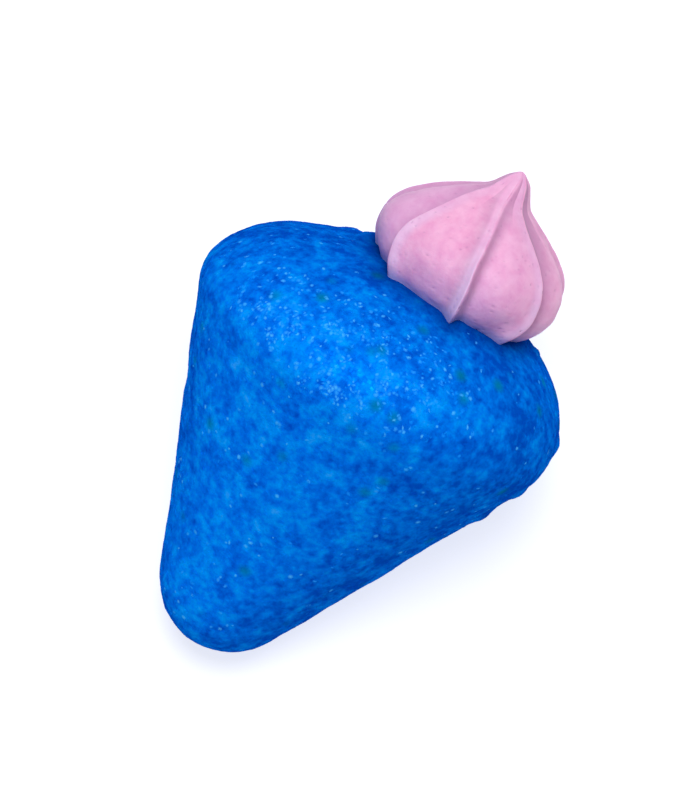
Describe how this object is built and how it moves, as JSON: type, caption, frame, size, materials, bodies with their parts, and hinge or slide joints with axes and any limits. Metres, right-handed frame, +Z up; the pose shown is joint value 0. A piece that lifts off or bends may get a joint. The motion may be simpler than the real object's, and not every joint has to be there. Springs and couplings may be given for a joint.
{
  "type": "marshmallow",
  "caption": "Soft sugared marshmallow shaped like a strawberry, lying on its flank, with a piped foam rosette on its domed crown.",
  "frame": {"origin": "middle of the footprint, on the surface that the marshmallow lies on", "axes": "+Z up from the surface; +X along the flank that it rests on, from the round nose towards the crown; -Y towards the side where the sweet leans up a little"},
  "size_m": [0.0544, 0.04, 0.037],
  "materials": {
    "blue_sugar_coat": "matt, grainy with fine coloured sugar",
    "pink_piped_foam": "smooth and matt, with fine pores"
  },
  "bodies": {
    "root": {"marshmallow_body": "blue_sugar_coat", "piped_top": "pink_piped_foam"}
  },
  "joints": []
}
